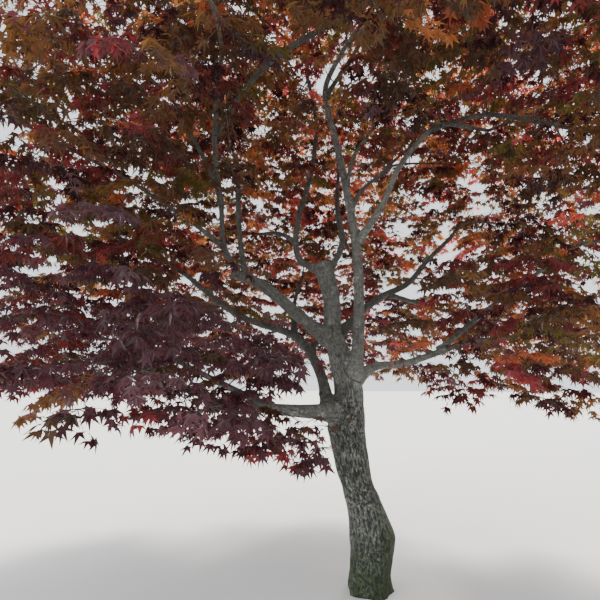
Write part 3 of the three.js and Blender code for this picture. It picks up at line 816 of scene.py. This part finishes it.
def makeLeaves(tint, rng):
    data = np.array(leafPlaces[tint])
    kinds = np.array([rng.randrange(len(templates)) for _ in range(len(data))])
    parts = []
    for kind, (shape, faces) in enumerate(templates):
        hub, front, normal, size, foot = np.split(data[kinds == kind], (3, 6, 9, 10), axis=1)
        right = np.cross(front, normal)
        blade = (shape[None, :, 0:1] * right[:, None] + shape[None, :, 1:2] * front[:, None]
                 + shape[None, :, 2:3] * normal[:, None]) * size[:, None] + hub[:, None]
        half = right * leafLook["petioleWidth"] / 2
        stalk = np.stack([foot - half, foot + half, hub], axis=1)
        whole = np.concatenate([blade, stalk], axis=1)
        each = whole.shape[1]
        faces = np.concatenate([faces, [(each - 3, each - 2, each - 1)]])
        parts.append((whole.reshape(-1, 3), onEach(faces, len(hub), each)))
    return joinParts("leaves" + tint, parts, False)


shapeRng = random.Random(31)
outlines = [sevenLobes] * leafShape["kinds"] + [fiveLobes] * leafShape["kinds"]
templates = [leafTemplate(outline, shapeRng) for outline in outlines]
leafPieces = {tint: makeLeaves(tint, shapeRng) for tint in tints}
print("leaves:", {tint: len(places) for tint, places in leafPlaces.items()},
      "in all", sum(len(places) for places in leafPlaces.values()),
      "faces:", sum(len(piece.data.polygons) for piece in leafPieces.values()))

# Trunk and limbs

heavyLimbs = ("trunk", "leader", "left_bough", "low_left", "back_stem", "stub_left", "stub_right")
barkLook = {
    "voxel": 0.01,
    "ringGap": 0.012, "boughRingGap": 0.018,
    "trunkSides": 40, "limbSides": 20, "boughSides": 11,
    "boughTail": 0.03,  # of a bough inside the wood it leaves
    # a limb is outside its parent from this share of the parent's radius; its deepest start
    "outside": 0.96, "deepest": 0.3,
    "flareOut": 0.55, "flareRun": 1.5,  # how much a limb widens where it leaves another
    "wander": 0.045, "wanderAcross": 0.8, "wanderAlong": 5, "wanderApart": 3.7,  # uneven girth
    "girthSpread": 60,  # rounds of evening out where limbs meet
    "crotchSmooth": 14, "crotchReach": 0.1, "smooth": 2,
    "sampleGap": 0.012, "footBand": 0.01, "flatFoot": 0.004,
    "heavy": 0.13,  # radius of a limb with the full relief
    "fissure": 0.005,  # depth on the trunk
    "ripple": 0.0136, "ring": 0.0012,
    # across and along the limb, and where the pattern begins
    "apart": 7.3, "ridgeScale": (24, 8, 0), "rippleScale": (9, 2.2, 11), "ringScale": (2, 30, 0),
    "footHeight": 0.2, "footFade": 2.2, "footOut": 0.17, "toeOut": 0.1,
    "dip": 0.38, "scar": 0.5,  # width of a wound's bowl and of its dark bark, over the knot's
}

# old pruning wounds and swellings: place, radius, height, sink in the middle
knots = [
    ((-0.14, -0.125, 1.3), 0.045, 0.014, 0.02), ((-0.205, -0.08, 1.69), 0.04, 0.014, 0.02),
    ((-0.345, -0.048, 1.4), 0.032, 0.016, 0.016), ((-0.03, -0.075, 1.56), 0.06, 0.012, 0),
    ((0.14, -0.06, 0.37), 0.085, 0.02, 0), ((-0.17, -0.11, 1.01), 0.055, 0.01, 0.008),
    ((0.03, -0.13, 0.64), 0.05, 0.008, 0.006), ((-0.23, 0.03, 0.82), 0.06, 0.012, 0.01),
    ((-0.05, 0.13, 1.12), 0.06, 0.014, 0.014), ((-0.345, 0.01, 2.4), 0.038, 0.008, 0.016),
    ((-0.262, -0.03, 1.145), 0.07, 0.026, 0),
]

# painted shade: how far the bark of each limb is darkened, standing in for the shade the leaves cast on
# limbs inside the crown
paintedLimbShade = {
    "back_stem": 0.85, "back_low_left": 0.85, "back_rise": 0.85, "back_low": 0.85, "low_left_side": 0.6,
    "left_bough": 0.4, "left_fork_front": 0.75, "left_fork_back": 0.75, "left_mid": 0.8,
    "mid_right": 0.8, "mid_right_low": 0.8, "stub_left": 0.75, "stub_right": 0.65, "leader_twig": 0.55,
    "leader_front": 0.5, "upper_left_back": 0.7, "front_left": 0.9, "front": 1, "left_back_mid": 0.7,
    "right_front": 0.8, "leader_fork": 0.5, "back_mid": 0.7, "upper_right_back": 0.6, "low_right": 0.3,
}


def limbFrame(curve, share):
    # the way along a limb, and two ways across it that keep their heading from ring to ring
    chord = curve.at(1) - curve.at(0)
    level = np.cross(chord, upward)
    leans = np.linalg.norm(level) > 0.25 * np.linalg.norm(chord)
    along = curve.run(share)
    side = unit(np.cross(along, unit(level) if leans else (1.0, 0, 0)))
    return along, side, np.cross(side, along)


def rootGap(limb):
    # share of the limb that lies inside the wood it leaves
    parent, leaves = boughs[limb][:2]
    radius = limbRadius[parent](leaves) * barkLook["outside"]
    near = np.array([curves[parent].at(clamp(leaves + k / 100)) for k in range(-12, 13)])
    for share in (i / 100 for i in range(100)):
        if lengthsOf(curves[limb].at(share) - near).min() > radius:
            return share
    return barkLook["deepest"]


insideShare = {name: (0 if name == "trunk" else rootGap(name)) for name in curves}
limbOrder = {name: i for i, name in enumerate(curves)}


def barkRadius(limb, share, angle):
    if limb == "trunk":
        height = curves["trunk"].at(share)[2]
        fade = math.exp(-barkLook["footFade"] * height / barkLook["footHeight"])
        foot = barkLook["footOut"] + barkLook["toeOut"] * math.cos(growth["flareToes"] * angle)
        radius = plainTrunk(share) * (1 + foot * fade)
    else:
        radius = limbRadius[limb](share)
        past = max(0, share - insideShare[limb]) * limbLengths[limb]
        radius *= 1 + barkLook["flareOut"] * math.exp(-past / (radius * barkLook["flareRun"]))
    across, along = barkLook["wanderAcross"], barkLook["wanderAlong"]
    spot = Vector((math.cos(angle) * across, math.sin(angle) * across,
                   share * limbLengths[limb] * along + limbOrder[limb] * barkLook["wanderApart"]))
    return radius * (1 + barkLook["wander"] * noise.noise(spot))


def limbTube(limb, sides, ringGap, tail):
    bm = bmesh.new()
    curve = curves[limb]
    begin = max(0, insideShare[limb] - tail / limbLengths[limb]) if tail else 0
    rings = max(4, math.ceil(limbLengths[limb] * (1 - begin) / ringGap))
    for vert in bmesh.ops.create_grid(bm, x_segments=sides, y_segments=rings, size=1)["verts"]:
        angle = math.pi * (vert.co.x + 1)
        share = mix(begin, 1, (vert.co.y + 1) / 2)
        _, side, front = limbFrame(curve, share)
        radius = barkRadius(limb, share, angle)
        point = curve.at(share) + side * math.sin(angle) * radius + front * math.cos(angle) * radius
        if limb == "trunk" and share < 1e-6:
            point[2] = 0
        vert.co = point
    bmesh.ops.remove_doubles(bm, verts=bm.verts, dist=1e-5)
    bmesh.ops.holes_fill(bm, edges=[edge for edge in bm.edges if edge.is_boundary], sides=0)
    bmesh.ops.recalc_face_normals(bm, faces=bm.faces)
    return bm


def objectFrom(bm, name):
    for face in bm.faces:
        face.smooth = True
    mesh = bpy.data.meshes.new(name)
    bm.to_mesh(mesh)
    bm.free()
    return addObject(name, mesh)


def joinBmeshes(parts, name):
    whole = bmesh.new()
    for bm in parts:
        mesh = bpy.data.meshes.new("scrap")
        bm.to_mesh(mesh)
        bm.free()
        whole.from_mesh(mesh)
        bpy.data.meshes.remove(mesh)
    return objectFrom(whole, name)


def barkSamples(limbs):
    # spots on the limbs' middle lines, outside the wood that each leaves
    samples = []
    for limb, share in stepsAlong(limbs, barkLook["sampleGap"]):
        if share >= insideShare[limb]:
            curve = curves[limb]
            ways = [Vector(way) for way in limbFrame(curve, share)]
            samples.append((Vector(curve.at(share)), limb, share, limbRadius[limb](share), *ways))
    return samples


def evenOut(mesh, values):
    # lets a value run smoothly from one limb into the next
    ends = np.empty(2 * len(mesh.edges), dtype=np.int32)
    mesh.edges.foreach_get("vertices", ends)
    first, second = ends.reshape(-1, 2).T
    values = np.array(values)
    count = len(values)
    links = np.bincount(first, minlength=count) + np.bincount(second, minlength=count)
    for _ in range(barkLook["girthSpread"]):
        total = np.bincount(first, values[second], count) + np.bincount(second, values[first], count)
        values = (values + total) / (1 + links)
    return values


def ripple(straight, scale):
    across, along, shift = barkLook[scale]
    return noise.noise(Vector((straight.x * across, straight.y * across, straight.z * along + shift)))


def bell(share):
    return math.exp(-share ** 2)


def knotPush(place):
    # how far the knots push the bark out at a place, and how far it lies in an old wound
    push = scar = 0
    for middle, size, high, sink in knots:
        away = (place - Vector(middle)).length
        if away < 3 * size:
            push += high * bell(away / size)
            if sink:
                push -= (high + sink) * bell(away / (size * barkLook["dip"]))
                scar = max(scar, bell(away / (size * barkLook["scar"])))
    return push, scar


def addRelief(obj, limbs):
    # pushes bark ridges out along the limbs, and keeps the straightened limb as the grain attribute
    samples = barkSamples(limbs)
    tree = treeOf([sample[0] for sample in samples])
    mesh = obj.data
    grain, girths, wounds, darks, moved = [], [], [], [], []
    for vert in mesh.vertices:
        nearest = min(tree.find_n(vert.co, 5), key=lambda found: found[2] - samples[found[1]][3])
        centre, limb, share, radius, along, side, front = samples[nearest[1]]
        arm = vert.co - centre
        angle = math.atan2(arm.dot(side), arm.dot(front))
        length = share * limbLengths[limb] + arm.dot(along) + barkLook["apart"] * limbOrder[limb]
        straight = Vector((math.sin(angle) * radius, math.cos(angle) * radius, length))
        heavy = min(1, radius / barkLook["heavy"])
        ridge = 1 - abs(ripple(straight, "ridgeScale")) * 2
        push = barkLook["ripple"] * ripple(straight, "rippleScale")
        push = heavy * (push - barkLook["fissure"] * (ridge * ridge - 0.5))
        push += barkLook["ring"] * ripple(straight, "ringScale") * (1 - heavy)
        knot, scar = knotPush(vert.co)
        place = vert.co + vert.normal * (push + knot)
        place.z = max(0, place.z) if vert.co.z >= barkLook["flatFoot"] else 0
        moved.append(place)
        grain.extend(straight)
        girths.append(radius)
        wounds.append(scar)
        # painted shade of this limb, 0 where none is painted
        darks.append(paintedLimbShade.get(limb, 0))
    for vert, place in zip(mesh.vertices, moved):
        vert.co = place
    mesh.attributes.new("grain", "FLOAT_VECTOR", "POINT").data.foreach_set("vector", grain)
    girths, darks = evenOut(mesh, girths), evenOut(mesh, darks)
    for name, values in (("girth", girths), ("wound", wounds), ("paintedShade", darks)):
        mesh.attributes.new(name, "FLOAT", "POINT").data.foreach_set("value", values)
    mesh.update()
    return obj


def smoothVerts(bm, verts):
    bmesh.ops.smooth_vert(bm, verts=verts, factor=0.5, use_axis_x=True, use_axis_y=True, use_axis_z=True)


def makeHeavyLimbs():
    sides = {limb: barkLook["trunkSides" if limb == "trunk" else "limbSides"] for limb in heavyLimbs}
    tubes = [limbTube(limb, sides[limb], barkLook["ringGap"], 0) for limb in heavyLimbs]
    rough = joinBmeshes(tubes, "rough")
    weld = rough.modifiers.new("weld", "REMESH")
    weld.mode = "VOXEL"
    weld.voxel_size = barkLook["voxel"]
    mesh = bpy.data.meshes.new_from_object(rough.evaluated_get(bpy.context.evaluated_depsgraph_get()))
    bpy.data.objects.remove(rough)
    bm = bmesh.new()
    bm.from_mesh(mesh)
    crotches = [Vector(curves[limb].at(insideShare[limb])) for limb in heavyLimbs if limb != "trunk"]
    near = [vert for vert in bm.verts
            if any((vert.co - spot).length < barkLook["crotchReach"] for spot in crotches)]
    for _ in range(barkLook["crotchSmooth"]):
        smoothVerts(bm, near)
    for _ in range(barkLook["smooth"]):
        smoothVerts(bm, [vert for vert in bm.verts if vert.co.z > barkLook["footBand"]])
    return addRelief(objectFrom(bm, "trunkAndLimbs"), heavyLimbs)


boughNames = [name for name in boughs if name not in heavyLimbs]


def makeBoughs():
    shape = (barkLook["boughSides"], barkLook["boughRingGap"], barkLook["boughTail"])
    return addRelief(joinBmeshes([limbTube(name, *shape) for name in boughNames], "boughs"), boughNames)


trunkPiece = makeHeavyLimbs()
print("trunk and limbs:", len(trunkPiece.data.polygons), "faces")
boughPiece = makeBoughs()
print("boughs:", len(boughPiece.data.polygons), "faces")

# Materials


class Wire:
    # a node's output, so that shader maths reads as arithmetic
    def __init__(self, look, socket):
        self.look = look
        self.socket = socket

    def maths(self, operation, first, second):
        return self.look.node("ShaderNodeMath", {"operation": operation}, {0: first, 1: second})

    def __add__(self, other):
        return self.maths("ADD", self, other)

    def __sub__(self, other):
        return self.maths("SUBTRACT", self, other)

    def __rsub__(self, other):
        return self.maths("SUBTRACT", other, self)

    def __mul__(self, other):
        return self.maths("MULTIPLY", self, other)

    __radd__ = __add__
    __rmul__ = __mul__


class Look:
    # one material and its nodes
    def __init__(self, name):
        self.material = bpy.data.materials.new(name)
        self.material.use_nodes = True
        self.nodes = self.material.node_tree.nodes
        self.links = self.material.node_tree.links
        self.nodes.clear()

    def node(self, kind, settings=None, inputs=None, output=0):
        made = self.nodes.new(kind)
        for key, value in (settings or {}).items():
            setattr(made, key, value)
        for key, value in (inputs or {}).items():
            if isinstance(value, Wire):
                self.links.new(value.socket, made.inputs[key])
            else:
                made.inputs[key].default_value = value
        return Wire(self, made.outputs[output]) if made.outputs else made

    def place(self):
        return self.node("ShaderNodeTexCoord", output=3)  # Object coordinates

    def attribute(self, name, output=2):
        return self.node("ShaderNodeAttribute", {"attribute_name": name}, output=output)

    def stretch(self, place, scale):
        return self.node("ShaderNodeVectorMath", {"operation": "MULTIPLY"}, {0: place, 1: scale})

    def noise(self, place, scale, detail=3, roughness=0.55):
        return self.node("ShaderNodeTexNoise", {}, {
            "Vector": place, "Scale": scale, "Detail": detail, "Roughness": roughness})

    def between(self, value, low, high):
        return self.node("ShaderNodeMapRange", {"interpolation_type": "SMOOTHSTEP"},
                         {"Value": value, "From Min": low, "From Max": high})

    def blend(self, factor, first, second):
        first, second = (tone if isinstance(tone, Wire) else (*tone, 1) for tone in (first, second))
        return self.node("ShaderNodeMix", {"data_type": "RGBA"}, {0: factor, 6: first, 7: second}, 2)

    def shader(self, kind, inputs):
        return self.node("ShaderNode" + kind, {}, inputs)

    def finish(self, shader):
        self.node("ShaderNodeOutputMaterial", {}, {"Surface": shader})
        return self.material


barkColours = {
    "shade": (0.036, 0.037, 0.031),
    "plain": (0.1, 0.104, 0.09),
    "pale": (0.3, 0.312, 0.284),
    "lichen": (0.47, 0.49, 0.45),
    "moss": (0.034, 0.06, 0.012),
    "fissure": (0.012, 0.012, 0.009),
    "wound": (0.022, 0.018, 0.015),
    # colour of the painted shade on limbs inside the crown
    "paintedShade": (0.034, 0.03, 0.025),
    "young": (0.14, 0.142, 0.128),
}

# pattern: across and along the limb (or even), scale, detail and roughness, its edges,
# and how much of it shows on young bark and is added on old bark
barkPatterns = {
    "flakes": ((1, 1, 0.62), (66, 4, 0.7), (0.49, 0.57), (0.34, 0.46)),
    "cracks": ((1, 1, 0.5), (60, 4, 0.68), (0.5, 0.57), (0.18, 0.66)),
    "streaks": ((1, 1, 0.2), (14, 3, 0.6), (0.48, 0.62), (0.08, 0.22)),
    "threads": ((1, 1, 0.2), (80, 3, 0.6), (0.47, 0.62), (0.1, 0.22)),
    "rings": ((0.25, 0.25, 1), (60, 3, 0.6), (0.52, 0.66), (0.4, -0.4)),
    "patches": (None, (10, 5, 0.72), (0.54, 0.62), (0.52, -0.12)),
    "specks": (None, (70, 3, 0.6), (0.57, 0.64), (0.2, 0.45)),
}

# heights between which each band sets in
barkBands = {
    "upper": (1.15, 1.6), "aboveFoot": (0.12, 0.5), "bulge": (0.26, 0.42), "aboveBulge": (0.55, 0.75),
    "collar": (1.18, 1.4), "aboveCollar": (1.55, 1.9), "aboveFlank": (0.7, 1.2), "aboveLow": (0.5, 1.4),
}

barkShares = {
    "oldGirth": (0.035, 0.11), "upperYoung": 0.5, "young": 0.6,
    "bulge": 0.34, "collar": 0.6, "aboveCollar": 0.38,
    "foot": 0.84, "flank": 0.5, "low": 0.16, "lean": 0.2, "flankFrom": (0.09, 0.18),
    # after the moss comes the share of painted shade on limbs inside the crown
    "moss": 0.7, "paintedShade": 0.62, "cloud": 0.3, "wound": 0.85,
    "cloudEdges": (0.4, 0.6), "shadeEdges": (0.36, 0.64),
    "bump": 0.011, "rough": 0.8, "roughMore": 0.12,
    "flakeRise": 0.5, "patchRise": 0.3, "crackDepth": 1.1, "threadDepth": 0.2, "ringDepth": 0.3,
}


def barkMaterial():
    look = Look("bark")
    share = barkShares
    grain = look.attribute("grain", 1)
    # the last of these attributes is the painted shade of the limbs inside the crown
    girth, wound, paintedShade = (look.attribute(name) for name in ("girth", "wound", "paintedShade"))
    place = look.place()
    sideways, height = (look.node("ShaderNodeSeparateXYZ", {}, {0: place}, axis) for axis in (0, 2))
    band = {name: look.between(height, *heights) for name, heights in barkBands.items()}
    old = look.between(girth, *share["oldGirth"]) * (1 - band["upper"] * share["upperYoung"])
    cloud = look.noise(place, 6, 4, 0.6)
    cloudy = look.between(cloud, *share["cloudEdges"]) * share["cloud"]
    mask, cover = {}, {}
    for name, (stretch, pattern, edges, (young, more)) in barkPatterns.items():
        spot = look.stretch(grain, stretch) if stretch else place
        mask[name] = look.between(look.noise(spot, *pattern), *edges)
        cover[name] = mask[name] * (young + old * more)
    bulge = band["bulge"] * (1 - band["aboveBulge"]) * share["bulge"]
    collar = band["collar"] * share["collar"] - band["aboveCollar"] * share["aboveCollar"]
    flank = look.between(sideways + height * share["lean"], *share["flankFrom"]) * (1 - band["aboveFlank"])
    low = ((1 - band["aboveFoot"]) * share["foot"] + flank * share["flank"]
           + (1 - band["aboveLow"]) * share["low"])
    shade = look.between(cloud, *share["shadeEdges"])
    colour = look.blend(shade, barkColours["shade"], barkColours["plain"])
    for part, name in (
            ((1 - old) * share["young"], "young"),
            (cover["flakes"], "pale"),
            (cover["patches"], "lichen"),
            (cover["specks"], "lichen"),
            (bulge + collar, "pale"),  # paler above the foot and round the collar
            (cover["rings"], "shade"),
            (low * (share["moss"] + cloudy), "moss"),  # green at the foot and up one flank
            (cover["streaks"], "shade"),
            (cover["cracks"], "fissure"),
            (cover["threads"], "fissure"),
            # painted shade: limbs inside the crown darkened as if the leaves shaded them
            (paintedShade * (share["paintedShade"] + cloudy), "paintedShade"),
            (wound * share["wound"], "wound")):
        colour = look.blend(part, colour, barkColours[name])
    relief = (mask["flakes"] * share["flakeRise"] - mask["cracks"] * old * share["crackDepth"]
              - mask["threads"] * share["threadDepth"] + mask["patches"] * share["patchRise"]
              - mask["rings"] * (1 - old) * share["ringDepth"])
    normal = look.node("ShaderNodeBump", {}, {"Strength": 1.0, "Distance": share["bump"], "Height": relief})
    return look.finish(look.shader("BsdfPrincipled", {
        "Base Color": colour, "Roughness": cloud * share["roughMore"] + share["rough"], "Normal": normal}))


twigColours = {
    "dark": (0.04, 0.029, 0.025), "pale": (0.11, 0.088, 0.074), "scale": 30, "edges": (0.35, 0.65),
    "roughness": 0.75,
}


def twigMaterial():
    look = Look("twigBark")
    shade = look.between(look.noise(look.place(), twigColours["scale"]), *twigColours["edges"])
    colour = look.blend(shade, twigColours["dark"], twigColours["pale"])
    return look.finish(look.shader("BsdfPrincipled", {
        "Base Color": colour, "Roughness": twigColours["roughness"]}))


def leafMaterial(tint):
    face, glow = tints[tint][:2]
    look = Look("leaves" + tint)
    skin = look.shader("BsdfPrincipled", {
        "Base Color": (*face, 1), "Roughness": leafLook["roughness"],
        "Specular IOR Level": leafLook["specular"]})
    through = look.shader("BsdfTranslucent", {"Color": (*glow, 1)})
    return look.finish(look.shader("MixShader", {0: leafLook["through"], 1: skin, 2: through}))


# What each piece stands for, and its finish

bark, twigBark = barkMaterial(), twigMaterial()
stands = [(trunkPiece, heavyLimbs, "bark", bark), (boughPiece, boughNames, "bark", bark),
          (heavyTwigs, massNames, "bark", twigBark), (fineTwigs, massNames, "bark", twigBark)]
stands += [(piece, massNames, "foliage", leafMaterial(tint)) for tint, piece in leafPieces.items()]
for piece, nodes, slot, material in stands:
    piece.data.materials.append(material)
    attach(piece, "root")
    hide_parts(*nodes)
print("materials done")

# Floor, light and camera

studio = {
    "floorRadius": 60, "floorScale": 0.6,
    "floorTones": ((0.66, 0.66, 0.65), (0.6336, 0.6336, 0.624)), "floorRoughness": 0.9,
    "ambient": (0.95, 0.97, 1.0), "ambientStrength": 1.55,
    # light: turn, strength, angle and colour
    "suns": {
        "sun": ((38, 0, 150), 7.6, 14, (1.0, 0.95, 0.88)),
        "fill": ((66, 0, -54), 2.2, 30, (1, 1, 1)),
    },
}
bm = bmesh.new()
bmesh.ops.create_circle(bm, cap_ends=True, segments=64, radius=studio["floorRadius"])
floor = objectFrom(bm, "floor")
look = Look("floor")
tone = look.blend(look.noise(look.place(), studio["floorScale"]), *studio["floorTones"])
floor.data.materials.append(look.finish(look.shader("BsdfPrincipled", {
    "Base Color": tone, "Roughness": studio["floorRoughness"]})))

world = bpy.data.worlds.new("studio")
bpy.context.scene.world = world
world.use_nodes = True
background = world.node_tree.nodes["Background"]
background.inputs["Color"].default_value = (*studio["ambient"], 1)
background.inputs["Strength"].default_value = studio["ambientStrength"]

for name, (turn, strength, angle, colour) in studio["suns"].items():
    light = addObject(name, bpy.data.lights.new(name, "SUN"))
    light.data.energy = strength
    light.data.angle = math.radians(angle)
    light.data.color = colour
    light.rotation_euler = [math.radians(part) for part in turn]

camera = addObject("camera", bpy.data.cameras.new("camera"))
camera.data.lens = cameraView["lens"]
camera.data.sensor_width = cameraView["sensor"]
camera.data.clip_end = cameraView["clip"]
camera.location = cameraView["place"]
camera.rotation_euler = (math.radians(90 + cameraView["rise"]), 0, 0)
bpy.context.scene.camera = camera
